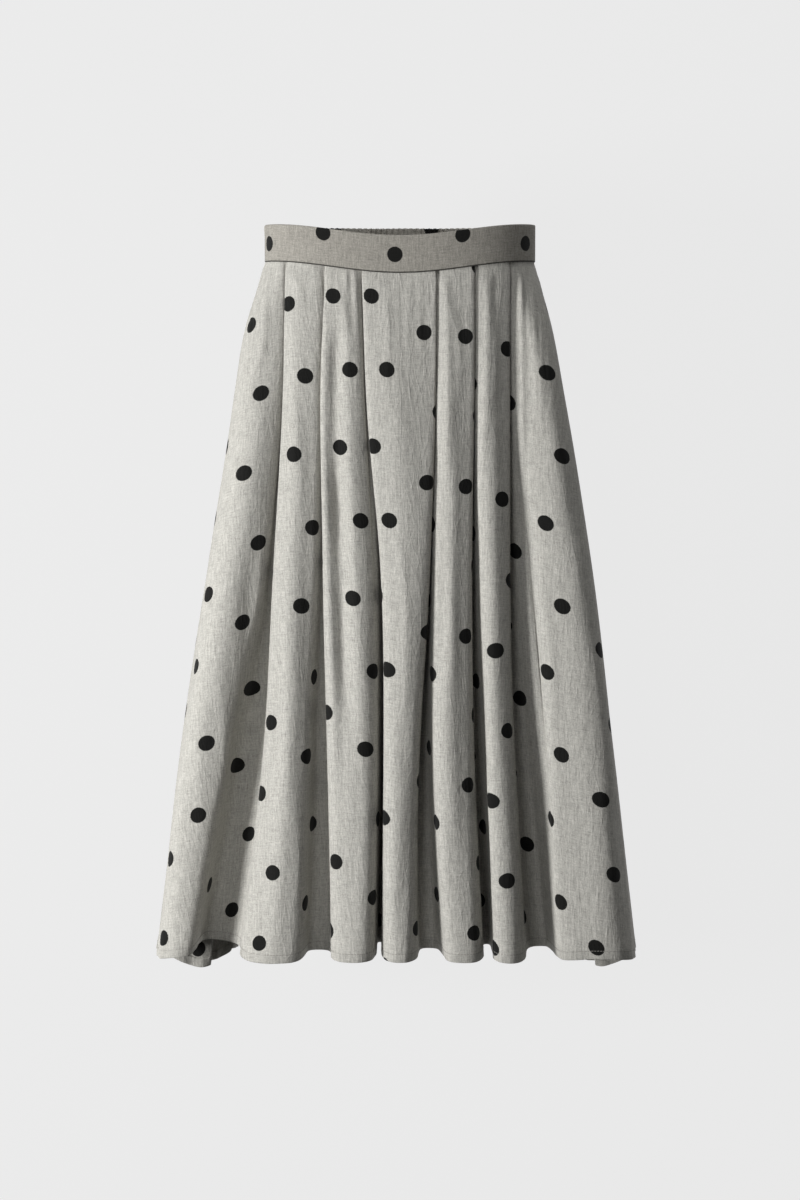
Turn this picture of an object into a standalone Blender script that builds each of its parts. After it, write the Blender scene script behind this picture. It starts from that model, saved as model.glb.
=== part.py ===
"""A-line midi skirt: flat front waistband, elastic back waistband, a knife-pleated front panel
and a gathered back panel. Metres, +Z up, the front faces -Y. The origin is the middle of the waist
opening, half way up the waistband at its sides."""

from collections import namedtuple

import bmesh
import bpy
import numpy as np

MM = 0.001

# ---------------------------------------------------------------- driving dimensions, millimetres
BAND_HEIGHT = 41.0
BAND_TOP = 21.0
FRONT_DIP = 13.5            # how far the front band sags below its ends at the centre front
BAND_WALL = 2.6
SEAM_GAP = 0.3
SEAM_STEP = 1.2             # a wall's end runs straight this far, so that its end face is square
SIDE_GAP = 0.5              # between the panels' edges at a side seam, where the walls lean
CLOTH_WALL = 1.1
SEAM_ALLOWANCE = 5.0        # the panels hang straight for this far below the band
SIDE_LENGTH = 769.0         # waist seam to hem at the side seams
HEM_RISE_FRONT = 10.0       # the hem is cut this much shorter at the centre front
HEM_RISE_SIDE = 7.0         # and over the places where the back hangs on the bias
HEM_LIFT = 8.0              # a valley's hem is drawn up this much against its flutes
BIAS_DROOP = 33.0           # the back hem hangs lower by this where its cloth is on the bias
BIAS_PLACE = 222.0          # that place's distance from the centre back, and its half width
BIAS_REACH = 44.0
ROUNDNESS = 2.3             # 2 is an ellipse, more is squarer
HEM_ROUNDNESS = 2.8         # of the front at the hem

PLEAT_TUCK = 30.0           # how far a knife pleat reaches under its panel at the waist
LAYER_PITCH = 2.3           # centre to centre of two cloth layers in a pressed pleat
OPENING_POWER = 1.15        # how late a pleat opens on its way down, 1 is evenly
SINKING_POWER = 0.85        # how late its valley deepens
OUTER_FULLNESS = 34.0       # the flutes beside the side seams stand this much further forward
FULLNESS_START = 60.0       # the height over which they come forward below the waist
FULLNESS_CREST = 0.58       # power that sets their crest three tenths of the way from the seam

# ------------------------------------------------------------------------------- section table
# One row for each height below the waist seam: half widths left and right of the centre front,
# and half depths towards the front and the back.
Section = namedtuple("Section", "below left right front back")
SECTIONS = [
    Section(below=0, left=148.7, right=148.7, front=75, back=73),
    Section(below=33, left=158.5, right=156.2, front=84, back=82),
    Section(below=72, left=170.2, right=165.5, front=93, back=92),
    Section(below=134, left=180.8, right=176.0, front=102, back=102),
    Section(below=201, left=190.8, right=189.4, front=109, back=110),
    Section(below=338, left=213.4, right=212.3, front=117, back=120),
    Section(below=524, left=241.4, right=235.5, front=125, back=130),
    Section(below=672, left=260.0, right=253.0, front=130, back=137),
    Section(below=769, left=271.3, right=263.5, front=134, back=142),
]

# ---------------------------------------------------------------------------------- pleat table
# One row for each knife pleat, from the left side seam to the right. "edge" is where the fold edge
# of the panel on top stands from the centre front, and "under" where the panel it covers comes
# out, both at the heights in PLEAT_STATIONS. "depth" is the valley between them at the hem, and
# "shoulder" how far the flute on top stays full, at the hem.
PLEAT_STATIONS = (0, 160, 330, 520, 769)
Pleat = namedtuple("Pleat", "edge under depth shoulder shoulder_under")
PLEATS = [
    Pleat(edge=(-124, -130, -138, -150, -174), under=(-124, -133, -155, -197, -226), depth=60,
          shoulder=17, shoulder_under=9),
    Pleat(edge=(-81, -86, -84, -79, -75), under=(-81, -86, -93, -103, -106), depth=44,
          shoulder=16, shoulder_under=14),
    Pleat(edge=(-41, -35, -22, -17, -19), under=(-41, -34, -27, -23, -25), depth=66,
          shoulder=12, shoulder_under=15),
    Pleat(edge=(39, 38, 31, 21, 19), under=(39, 42, 43, 42, 46), depth=48,
          shoulder=12, shoulder_under=12),
    Pleat(edge=(81, 81, 80, 82, 91), under=(81, 86, 93, 99, 101), depth=62,
          shoulder=13, shoulder_under=13),
    Pleat(edge=(120, 121, 122, 126, 140), under=(120, 127, 146, 159, 170), depth=56,
          shoulder=13, shoulder_under=9),
]

# Points of a pleat's fold in cloth order, from the covered panel to the one on top. At the waist
# "tuck" is in tuck lengths and "layer" counts cloth layers; at the hem "across" runs from the
# covered edge (0) to the fold edge (1) and "down" is in valley depths.
Fold = namedtuple("Fold", "tuck shift layer across outset down")
FOLD = [
    Fold(tuck=0.0, shift=-7.5, layer=0.3, across=0.0, outset=-1.0, down=0.00),
    Fold(tuck=0.0, shift=-2.5, layer=1.7, across=0.0, outset=-0.15, down=0.20),
    Fold(tuck=0.1, shift=0.0, layer=2.0, across=0.05, outset=0.0, down=0.90),
    Fold(tuck=1.0, shift=0.5, layer=2.0, across=0.28, outset=0.0, down=1.04),
    Fold(tuck=1.0, shift=0.5, layer=1.0, across=0.82, outset=0.0, down=1.04),
    Fold(tuck=1.0, shift=-4.0, layer=1.0, across=0.97, outset=0.0, down=0.82),
    Fold(tuck=0.0, shift=3.5, layer=1.0, across=0.99, outset=0.0, down=0.52),
    Fold(tuck=0.0, shift=-0.6, layer=1.0, across=1.0, outset=0.0, down=0.30),
    Fold(tuck=0.0, shift=-0.6, layer=0.0, across=1.0, outset=0.45, down=0.10),
    Fold(tuck=0.0, shift=4.0, layer=0.0, across=1.0, outset=1.0, down=0.00),
]
SIDE_POINTS = 7             # points on each plain stretch between a side seam and its pleat
SAMPLES = 2                 # cloth columns for each point of the section

# ------------------------------------------------------------------------------------ the back
BACK_FLUTES = 9
GATHERS_PER_FLUTE = 3
BACK_COLUMNS = 5            # cloth columns in a gather
FLUTE_DEPTH = 44.0          # crest to valley at the hem
GATHER_DEPTH = 9.0          # crest to valley at the waist
GATHER_REACH = 120.0        # gathers die away over this height
UNEVEN_PITCH = 0.30         # how far a flute wanders from even spacing, in radians
UNEVEN_DEPTH = 0.22

BAND_GATHERS = 56
BAND_RUCHE = 1.2            # depth of the elastic band's ruching

FRONT_ROWS = (0, SEAM_ALLOWANCE, 22, 55, 100, 160, 235, 330, 440, 560, 670, SIDE_LENGTH)
BACK_ROWS = (0, SEAM_ALLOWANCE, 25, 60, 110, 190, 300, 430, 590, SIDE_LENGTH)
DENSE = 720                 # points on a half section while it is being measured

CLOTH_COLOUR = (0.42, 0.41, 0.37, 1.0)
CLOTH_ROUGHNESS = 0.85


# -------------------------------------------------------------------------- curves and sections
def smooth_table(heights, stations, values):
    """Values at the heights, on a smooth curve through a short table of stations."""
    stations = np.asarray(stations, float)
    values = np.asarray(values, float)
    slopes = np.gradient(values, stations)
    heights = np.clip(heights, stations[0], stations[-1])
    cell = np.clip(np.searchsorted(stations, heights, side="right") - 1, 0, len(stations) - 2)
    width = stations[cell + 1] - stations[cell]
    s = (heights - stations[cell]) / width
    return ((1 + 2 * s) * (1 - s) ** 2 * values[cell] + s * (1 - s) ** 2 * width * slopes[cell]
            + s * s * (3 - 2 * s) * values[cell + 1] + s * s * (s - 1) * width * slopes[cell + 1])


def ease(value, low, high):
    """A smooth step from 0 at low to 1 at high."""
    s = np.clip((value - low) / (high - low), 0, 1)
    return s * s * (3 - 2 * s)


def sections_at(below, name):
    """One column of the section table at a height below the waist seam."""
    stations = [row.below for row in SECTIONS]
    return float(smooth_table(np.array([below]), stations, [getattr(s, name) for s in SECTIONS])[0])


class HalfSection:
    """Half of a plain horizontal section, front or back, from the left side seam to the right."""

    def __init__(self, below, front):
        left = sections_at(below, "left")
        right = sections_at(below, "right")
        depth = sections_at(below, "front" if front else "back")
        side = -1.0 if front else 1.0
        angle = np.linspace(-np.pi / 2, np.pi / 2, DENSE)
        squarer = (HEM_ROUNDNESS - ROUNDNESS) * below / SIDE_LENGTH if front else 0.0
        power = 2.0 / (ROUNDNESS + squarer)
        half = np.where(angle < 0, left, right)
        self.x = half * np.sign(angle) * np.abs(np.sin(angle)) ** power
        self.y = side * depth * np.abs(np.cos(angle)) ** power
        self.run = np.concatenate([[0], np.cumsum(np.hypot(np.diff(self.x), np.diff(self.y)))])
        tangent = np.stack([np.gradient(self.x, self.run), np.gradient(self.y, self.run)])
        tangent /= np.linalg.norm(tangent, axis=0)
        if front:
            straight = (max(below, SEAM_ALLOWANCE) - SEAM_ALLOWANCE) / (SIDE_LENGTH - SEAM_ALLOWANCE)
            out = np.stack([tangent[1] * (1 - straight), -tangent[0] * (1 - straight) - straight])
            self.out_x, self.out_y = out / np.linalg.norm(out, axis=0)
        else:
            self.out_x, self.out_y = -tangent[1], tangent[0]
        self.length = self.run[-1]

    def run_at_x(self, x):
        """Distance along the section from the left seam to the point that shows at x."""
        return np.interp(x, self.x, self.run)

    def points(self, run, inward):
        """Points at a distance along the section and a depth inside it."""
        place_x = np.interp(run, self.run, self.x) - inward * np.interp(run, self.run, self.out_x)
        place_y = np.interp(run, self.run, self.y) - inward * np.interp(run, self.run, self.out_y)
        return np.stack([place_x, place_y], axis=-1)


def spline(controls, samples):
    """A uniform cubic B-spline through a row of points that starts and ends on its end points."""
    ends = [2 * controls[0] - controls[1]], [2 * controls[-1] - controls[-2]]
    p = np.concatenate([ends[0], controls, ends[1]])
    rows = []
    for step in range(samples):
        s = step / samples
        rows.append(((1 - s) ** 3 * p[:-3] + (3 * s ** 3 - 6 * s * s + 4) * p[1:-2]
                     + (-3 * s ** 3 + 3 * s * s + 3 * s + 1) * p[2:-1] + s ** 3 * p[3:]) / 6)
    curve = np.stack(rows, axis=1).reshape(-1, controls.shape[1])
    return np.concatenate([curve, controls[-1:]])


# ----------------------------------------------------------------------------- heights of edges
def band_top(x):
    """Height of the front waistband's top edge."""
    half = sections_at(0, "left")
    return BAND_TOP - FRONT_DIP * np.cos(np.pi / 2 * np.clip(x / half, -1, 1)) ** 2


def front_seam(x):
    """Height of the waist seam across the front."""
    return band_top(x) - BAND_HEIGHT


def hem_height(x, inward, front):
    """Height of the hem: level at the sides, shorter at the centre front, drawn up in valleys."""
    half = sections_at(SIDE_LENGTH, "left")
    if front:
        rise = (HEM_RISE_FRONT * np.cos(np.pi / 2 * np.clip(x / half, -1, 1))
                + HEM_RISE_SIDE * np.exp(-((np.abs(x) - BIAS_PLACE) / BIAS_REACH) ** 2))
    else:
        rise = -BIAS_DROOP * np.exp(-((np.abs(x) - BIAS_PLACE) / BIAS_REACH) ** 2)
    return BAND_TOP - BAND_HEIGHT - SIDE_LENGTH + rise + HEM_LIFT * inward / PLEATS[2].depth


# ------------------------------------------------------------------------------ panel surfaces
def pleat_points(pleat, below, half):
    """The fold of one pleat at one height: distances along the section and depths inside it."""
    edge_x = float(smooth_table(np.array([below]), PLEAT_STATIONS, pleat.edge)[0])
    under_x = float(smooth_table(np.array([below]), PLEAT_STATIONS, pleat.under)[0])
    edge = half.run_at_x(edge_x)
    under = half.run_at_x(under_x)
    inward_way = 1.0 if edge_x < 0 else -1.0
    fold = np.array(FOLD)
    tuck, shift, layer, across, outset, down = fold.T
    fall = (below - SEAM_ALLOWANCE) / (SIDE_LENGTH - SEAM_ALLOWANCE)
    opened = fall ** OPENING_POWER
    sunk = fall ** SINKING_POWER
    folded_run = edge + inward_way * (tuck * PLEAT_TUCK + shift)
    out = np.where(outset < 0, outset * pleat.shoulder_under, outset * pleat.shoulder)
    open_run = under + across * (edge - under) + inward_way * out
    run = folded_run + (open_run - folded_run) * opened
    inward = layer * LAYER_PITCH * (1 - opened) + down * pleat.depth * sunk
    points = np.stack([run, inward], axis=-1)
    return points if inward_way > 0 else points[::-1]


def fullness(share, below):
    """How far an outer flute comes forward, by its share of the way from the seam to the pleat."""
    grown = 1 - np.exp(-max(below - SEAM_ALLOWANCE, 0) / FULLNESS_START)
    return OUTER_FULLNESS * grown * np.sin(np.pi * share ** FULLNESS_CREST)


def front_ring(below):
    """One section of the front panel: across, depth and the depth inside the plain section."""
    half = HalfSection(max(below, SEAM_ALLOWANCE), front=True)
    folds = [pleat_points(pleat, max(below, SEAM_ALLOWANCE), half) for pleat in PLEATS]
    first, last = folds[0][0, 0], folds[-1][-1, 0]
    ends = np.array([0.0, SEAM_STEP])
    left_end = SIDE_GAP / 2 + ends
    right_end = half.length - left_end[::-1]
    start = np.concatenate([left_end, np.linspace(left_end[-1], first, SIDE_POINTS)[1:-1]])
    finish = np.concatenate([np.linspace(last, right_end[0], SIDE_POINTS)[1:-1], right_end])
    full_left = fullness(start / first, below)
    full_right = fullness((half.length - finish) / (half.length - last), below)
    centre = 0.5 * (folds[2][-1] + folds[3][0])
    rows = [np.stack([start, 0 * start], -1), *folds[:3], centre[None], *folds[3:],
            np.stack([finish, 0 * finish], -1)]
    controls = np.concatenate(rows)
    forward = np.zeros(len(controls))
    forward[:len(start)] = full_left
    forward[-len(finish):] = full_right
    run, inward, forward = spline(np.column_stack([controls, forward]), SAMPLES).T
    place = half.points(run, inward)
    place[:, 1] -= forward
    return np.concatenate([place, inward[:, None]], axis=1)


def back_ring(below):
    """One section of the back panel, with gathers that melt into flutes on the way down."""
    half = HalfSection(max(below, SEAM_ALLOWANCE), front=False)
    run = seam_ended(half.length, SIDE_GAP, BACK_FLUTES * GATHERS_PER_FLUTE * BACK_COLUMNS)
    u = run / half.length
    fall = max(below, SEAM_ALLOWANCE)
    wander = UNEVEN_PITCH * np.sin(4 * np.pi * u + 0.8)
    flute_phase = 2 * np.pi * BACK_FLUTES * u + wander
    depth = FLUTE_DEPTH * (fall / SIDE_LENGTH) ** 0.5 * (1 + UNEVEN_DEPTH * np.sin(10 * u + 1.0))
    flute = depth * 0.5 * (1 - np.cos(flute_phase))
    gather_phase = 2 * np.pi * BACK_FLUTES * GATHERS_PER_FLUTE * u
    gather = 0.5 * GATHER_DEPTH * (1 - np.cos(gather_phase)) * np.exp(-fall / GATHER_REACH)
    inward = (flute + gather) * ease(np.minimum(run, half.length - run), SEAM_STEP, 12.0)
    return np.concatenate([half.points(run, inward), inward[:, None]], axis=1)


def panel_grid(rows, ring, front):
    """Points of a panel as rows of columns, in millimetres."""
    rings = np.array([ring(below) for below in rows])
    top_x = rings[0, :, 0]
    top = (front_seam(top_x) if front else BAND_TOP - BAND_HEIGHT + 0 * top_x) - SEAM_GAP
    bottom = hem_height(rings[-1, :, 0], rings[-1, :, 2], front)
    fraction = np.array(rows, float)[:, None] / rows[-1]
    z = top + (bottom - top) * fraction
    return np.stack([rings[:, :, 0], rings[:, :, 1], z], axis=-1)


def seam_ended(length, gap, columns):
    """Even places along a half section, with a short straight step at each seam."""
    run = np.linspace(gap / 2, length - gap / 2, columns + 1)
    return np.concatenate([run[:1], [run[0] + SEAM_STEP], run[1:-1], [run[-1] - SEAM_STEP], run[-1:]])


def band_grid(front):
    """Points of a waistband half, in millimetres: its top edge and its seam."""
    half = HalfSection(0.0, front)
    run = seam_ended(half.length, SEAM_GAP, 44 if front else BAND_GATHERS * 4)
    inward = np.zeros_like(run)
    if not front:
        wave = 1 - np.cos(2 * np.pi * BAND_GATHERS * run / half.length)
        inward = 0.5 * BAND_RUCHE * wave * ease(np.minimum(run, half.length - run), SEAM_STEP, 6.0)
    xy = half.points(run, inward)
    top = band_top(xy[:, 0]) if front else np.full(len(run), BAND_TOP)
    return np.stack([np.column_stack([xy, z]) for z in (top, top - BAND_HEIGHT)])


# ---------------------------------------------------------------------------- Blender objects
def clear_scene():
    for obj in list(bpy.data.objects):
        bpy.data.objects.remove(obj, do_unlink=True)


def cloth_material(name):
    """Warm grey linen in one plain colour."""
    material = bpy.data.materials.new(name)
    material.use_nodes = True
    shader = material.node_tree.nodes["Principled BSDF"]
    shader.inputs["Base Color"].default_value = CLOTH_COLOUR
    shader.inputs["Roughness"].default_value = CLOTH_ROUGHNESS
    shader.inputs["Metallic"].default_value = 0.0
    return material


def cloth_object(name, grid, wall, collection):
    """A sheet through a grid of points, given its wall by Solidify, with faces pointing out."""
    rows, columns = grid.shape[:2]
    mesh = bpy.data.meshes.new(name)
    index = np.arange(rows * columns).reshape(rows, columns)
    quads = np.stack([index[:-1, :-1], index[1:, :-1], index[1:, 1:], index[:-1, 1:]], axis=-1)
    mesh.from_pydata((grid.reshape(-1, 3) * MM).tolist(), [], quads.reshape(-1, 4).tolist())
    outline = bmesh.new()
    outline.from_mesh(mesh)
    bmesh.ops.recalc_face_normals(outline, faces=outline.faces)
    outline.to_mesh(mesh)
    outline.free()
    obj = bpy.data.objects.new(name, mesh)
    collection.objects.link(obj)
    solidify = obj.modifiers.new("wall", "SOLIDIFY")
    solidify.thickness = wall * MM
    solidify.offset = 0.0
    mesh.shade_smooth()
    mesh.materials.append(cloth_material(name))
    return obj


def main():
    clear_scene()
    collection = bpy.data.collections.new("a_line_midi_skirt")
    bpy.context.scene.collection.children.link(collection)
    cloth_object("skirt_front", panel_grid(FRONT_ROWS, front_ring, True), CLOTH_WALL, collection)
    cloth_object("skirt_back", panel_grid(BACK_ROWS, back_ring, False), CLOTH_WALL, collection)
    cloth_object("waistband_front", band_grid(True), BAND_WALL, collection)
    cloth_object("waistband_back", band_grid(False), BAND_WALL, collection)


if __name__ == "__main__":
    main()
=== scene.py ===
"""The looks of an a-line midi skirt in dotted linen: two panels, two waistband halves, a studio.

Every size is in millimetres until a mesh is made, and then in metres. The front faces -Y. Heights
on the panels are given as "below", the distance below the waist seam.
"""

from __future__ import annotations

import logging
from dataclasses import dataclass, field
from enum import Enum
from typing import NamedTuple

import bpy
import numpy as np
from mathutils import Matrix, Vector

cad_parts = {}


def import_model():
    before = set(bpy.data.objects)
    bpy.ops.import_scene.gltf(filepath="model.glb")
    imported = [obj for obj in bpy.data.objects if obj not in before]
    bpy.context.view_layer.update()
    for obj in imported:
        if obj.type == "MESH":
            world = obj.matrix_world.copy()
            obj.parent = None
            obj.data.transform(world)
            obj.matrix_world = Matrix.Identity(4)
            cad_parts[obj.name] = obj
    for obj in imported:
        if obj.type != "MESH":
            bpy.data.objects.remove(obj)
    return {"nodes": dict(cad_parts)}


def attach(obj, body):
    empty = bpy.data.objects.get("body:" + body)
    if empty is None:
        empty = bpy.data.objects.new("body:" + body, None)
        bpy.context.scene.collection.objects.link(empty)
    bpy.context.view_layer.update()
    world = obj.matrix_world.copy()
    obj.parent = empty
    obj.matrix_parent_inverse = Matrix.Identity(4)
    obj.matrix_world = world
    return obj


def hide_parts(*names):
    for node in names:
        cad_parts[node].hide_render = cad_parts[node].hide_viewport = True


MM = 0.001
LOG = logging.getLogger("skirt")
Array = np.ndarray
Object = bpy.types.Object
Material = bpy.types.Material
Socket = bpy.types.NodeSocket
Pair = tuple[float, float]
Triple = tuple[float, float, float]
Inputs = dict[str | int, object]


class Half(Enum):
    """Which half of a section a piece follows, with the sign of its depth along Y."""

    FRONT = -1.0
    BACK = 1.0


class Part(Enum):
    """A stretch of the pleated front, by its point in FOLD."""

    COVERED = 1     # the panel that goes under, from its last point that shows
    FLOOR = 4       # the valley's floor
    FOLD = 8        # the panel on top, from its fold edge


class Section(NamedTuple):
    """Half widths and half depths of the plain skirt at one height below the waist seam."""

    below: float
    left: float
    right: float
    front: float
    back: float


class Pleat(NamedTuple):
    """One knife pleat: its fold edge and the covered panel's edge at PLEAT_STATIONS."""

    edge: tuple[float, ...]
    under: tuple[float, ...]
    depth: float
    shoulder: float
    shoulder_under: float


class Anchor(NamedTuple):
    """Where one stretch of the front lies on the cut.

    The places are in millimetres from the centre front: at the waist, half way down and at the hem.
    """

    pleat: int
    part: Part
    waist: float
    middle: float
    hem: float


class Fold(NamedTuple):
    """One point of a pleat's fold, pressed at the waist and open at the hem."""

    tuck: float
    shift: float
    layer: float
    across: float
    outset: float
    down: float


class Crease(NamedTuple):
    """A soft line pressed or hung into the cloth: from one place on the cut to another."""

    across: float
    below: float
    to_across: float
    to_below: float
    width: float
    rise: float
    bow: float = 8.0

    def relief(self, across: Array, below: Array) -> Array:
        """How far the crease lifts the cloth.

        Formula: its rise times a Gaussian of the distance aside from its line, which bows by a
        half sine. The rise swells over the first quarter and dies away over the last two fifths.

        Args:
            across: places across the cut.
            below: places down the cut.

        Returns:
            The lift at each place.
        """
        line = np.array([self.to_across - self.across, self.to_below - self.below])
        size = float(np.hypot(*line))
        dx, dy = across - self.across, below - self.below
        along = (dx * line[0] + dy * line[1]) / size
        aside = (dx * line[1] - dy * line[0]) / size
        bend = min(BOW_SHARE * size, self.bow) * np.sin(np.pi * np.clip(along / size, 0, 1))
        fade = ease(along, 0, SWELL_SHARE * size) * (1 - ease(along, FADE_SHARE * size, size))
        return self.rise * fade * np.exp(-((aside - bend) / self.width) ** 2)


class Yarn(NamedTuple):
    """One kind of thread mark in the weave: its noise, and its share in the tone and the relief."""

    scale: Pair
    detail: float
    tone: float
    relief: float


class Wrinkle(NamedTuple):
    """One kind of thin wandering crease: its noise, its width there, and its lean in radians."""

    scale: Pair
    width: float
    lean: float


class Lamp(NamedTuple):
    """A square soft light. Metres and watts."""

    name: str
    place: Triple
    size: float
    power: float


# ---- sizes that the solids share
BAND_HEIGHT = 41.0
BAND_TOP = 21.0
FRONT_DIP = 13.5
BAND_WALL = 2.6
SEAM_ALLOWANCE = 5.0
SIDE_LENGTH = 769.0
HEM_RISE_FRONT = 10.0
HEM_RISE_SIDE = 7.0
HEM_LIFT = 8.0
BIAS_DROOP = 33.0
BIAS_PLACE = 222.0
BIAS_REACH = 44.0
ROUNDNESS = 2.3
HEM_ROUNDNESS = 2.8
PLEAT_TUCK = 30.0
LAYER_PITCH = 2.3
OPENING_POWER = 1.15
SINKING_POWER = 0.85
OUTER_FULLNESS = 34.0
FULLNESS_START = 60.0
FULLNESS_CREST = 0.58
DENSE = 900
HALF_PLEATS = 3             # pleats on each side of the centre front

SECTIONS = tuple(Section(*row) for row in (
    # below, left, right, front, back
    (0, 148.7, 148.7, 75, 73),
    (33, 158.5, 156.2, 84, 82),
    (72, 170.2, 165.5, 93, 92),
    (134, 180.8, 176.0, 102, 102),
    (201, 190.8, 189.4, 109, 110),
    (338, 213.4, 212.3, 117, 120),
    (524, 241.4, 235.5, 125, 130),
    (672, 260.0, 253.0, 130, 137),
    (769, 271.3, 263.5, 134, 142),
))
PLEAT_STATIONS = (0, 160, 330, 520, 769)
PLEATS = (
    # edge, under, depth, shoulder, shoulder_under
    Pleat((-124, -130, -138, -150, -174), (-124, -133, -155, -197, -226), 60, 17, 9),
    Pleat((-81, -86, -84, -79, -75), (-81, -86, -93, -103, -106), 44, 16, 14),
    Pleat((-41, -35, -22, -17, -19), (-41, -34, -27, -23, -25), 66, 12, 15),
    Pleat((39, 38, 31, 21, 19), (39, 42, 43, 42, 46), 48, 12, 12),
    Pleat((81, 81, 80, 82, 91), (81, 86, 93, 99, 101), 62, 13, 13),
    Pleat((120, 121, 122, 126, 140), (120, 127, 146, 159, 170), 56, 13, 9),
)
ANCHORS = (
    # pleat, part, waist, middle, hem
    Anchor(0, Part.COVERED, -326, -347, -440),
    Anchor(0, Part.FLOOR, -282, -318, -366),
    Anchor(0, Part.FOLD, -258, -290, -329),
    Anchor(1, Part.FOLD, -151, -174, -188),
    Anchor(4, Part.FOLD, 150, 146, 144),
    Anchor(5, Part.FOLD, 252, 268, 288),
    Anchor(5, Part.FLOOR, 285, 300, 324),
    Anchor(5, Part.COVERED, 323, 338, 372),
)
CENTRE_REACH = 2            # the centre panel's stretch runs this many guiding points to each side
CENTRE_PLACES = (0.0, 1.0, 4.0)
FOLD = tuple(Fold(*row) for row in (
    # tuck, shift, layer, across, outset, down
    (0.0, -7.5, 0.3, 0.0, -1.0, 0.00),
    (0.0, -2.5, 1.7, 0.0, -0.15, 0.20),
    (0.1, 0.0, 2.0, 0.05, 0.0, 0.90),
    (1.0, 0.5, 2.0, 0.28, 0.0, 1.04),
    (1.0, 0.5, 1.0, 0.82, 0.0, 1.04),
    (1.0, -4.0, 1.0, 0.97, 0.0, 0.82),
    (0.0, 3.5, 1.0, 0.99, 0.0, 0.52),
    (0.0, -0.6, 1.0, 1.0, 0.0, 0.30),
    (0.0, -0.6, 0.0, 1.0, 0.45, 0.10),
    (0.0, 4.0, 0.0, 1.0, 1.0, 0.00),
))
SIDE_POINTS = 7
BACK_FLUTES = 9
GATHERS_PER_FLUTE = 3
FLUTE_DEPTH = 44.0
GATHER_DEPTH = 9.0
GATHER_REACH = 120.0
UNEVEN_PITCH = 0.30
PITCH_START = 0.8
UNEVEN_DEPTH = 0.22
DEPTH_TURN = 10.0
DEPTH_START = 1.0
BAND_GATHERS = 56
BAND_RUCHE = 1.2

# ---- sizes of the looks only
CLOTH = 0.8                 # wall of the visible cloth
CUT_RADIUS = 1310.0         # the cloth's level lines curve up towards the sides with this radius
SIDE_SLANT = 0.013          # share by which the cloth is longer at the slanting side seams
OFF_GRAIN = 0.023           # the cloth lies this much off its grain, a slope
COLUMN_STEP = 3.4           # widest spacing of the cloth's columns
SPAN_SAMPLES = 16           # samples between two guiding points, to choose the columns from
FEWEST_COLUMNS = 3          # columns between two guiding points, at least
HEM_TURNING = 10.0
SEAM_TURNING = 8.0
TURNING_GAP = 1.0           # from a panel to its turned-in edge, centre to centre
SEAM_GROOVE = 0.5           # a side seam lies this deep
SEAM_CLEAR = 0.05           # half the gap between the two turnings of a side seam
FRILL_PITCH = 5.6           # small gathers of the elastic half
FRILL_DEPTH = 1.5
STITCH_LINE = 8.5           # the hem's stitches lie this far above its edge
SEAM_DIP = 1.7              # the panels roll in by this much at the waist seam
SEAM_ROLL = 7.0
CREASE_START = 16.0         # creases and back gathers swell over this much below the waist seam
TUCKED_UP = 2.0             # the panels reach this far up inside the waistband
TUCK_REACH = 4.0
WAIST_ROWS = 12             # rows among which a panel's waist is measured
SHARP_EDGE = np.radians(50)
BOW_SHARE = 0.06            # a crease bows by this share of its length, up to its own bow
SWELL_SHARE = 0.25          # it swells up to this share of its length
FADE_SHARE = 0.6            # and dies away from this share on
HEM_FOLD_TURNS = (np.pi / 4, np.pi / 2, 3 * np.pi / 4)      # rows round the hem's fold
TURNING_STEPS = (0.0375, 0.3, 0.65, 1.0)    # columns of a side turning, as shares of it

WEAVE = (
    # scale across and down the cut, detail, share in the tone, share in the relief
    Yarn((1500.0, 140.0), 3.0, 0.30, 0.10),     # warp
    Yarn((140.0, 1500.0), 3.0, 0.26, 0.11),     # weft
    Yarn((560.0, 60.0), 3.0, 0.34, 0.16),       # slubs of the warp
    Yarn((70.0, 620.0), 3.0, 0.24, 0.14),       # slubs of the weft
    Yarn((700.0, 600.0), 2.0, 0.30, 0.16),      # grain
)
WRINKLES = (
    Wrinkle((58.0, 7.5), 0.05, 0.0),
    Wrinkle((95.0, 16.0), 0.07, 0.16),
    Wrinkle((70.0, 22.0), 0.06, -0.22),
)


def smooth_table(heights: Array, stations: Array, values: Array) -> Array:
    """Read a short table along a smooth curve.

    Formula: a cubic Hermite curve through the stations, with the slopes of the finite differences.

    Args:
        heights: where to read it.
        stations: the table's heights, rising.
        values: the table's values.

    Returns:
        One value for each height.
    """
    stations = np.asarray(stations, float)
    values = np.asarray(values, float)
    slopes = np.gradient(values, stations)
    heights = np.clip(heights, stations[0], stations[-1])
    cell = np.clip(np.searchsorted(stations, heights, side="right") - 1, 0, len(stations) - 2)
    width = stations[cell + 1] - stations[cell]
    s = (heights - stations[cell]) / width
    return ((1 + 2 * s) * (1 - s) ** 2 * values[cell] + s * (1 - s) ** 2 * width * slopes[cell]
            + s * s * (3 - 2 * s) * values[cell + 1] + s * s * (s - 1) * width * slopes[cell + 1])


def ease(value: Array, low: float, high: float) -> Array:
    """A smooth step from 0 at low to 1 at high: 3s^2 - 2s^3."""
    s = np.clip((value - low) / (high - low), 0, 1)
    return s * s * (3 - 2 * s)


def walked(steps: Array) -> Array:
    """Distance from the start at each point of a line, the sum of the steps before it."""
    return np.concatenate([[0], np.cumsum(steps)])


def wandering(start: Array, run: Array, waves: tuple[Triple, ...]) -> Array:
    """A line's values with sines added, each with its rise, its length over 2 pi and its start.

    Args:
        start: the values.
        run: places along the line.
        waves: the sines.

    Returns:
        The new values.
    """
    for rise, length, phase in waves:
        start = start + rise * np.sin(run / length + phase)
    return start


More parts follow.
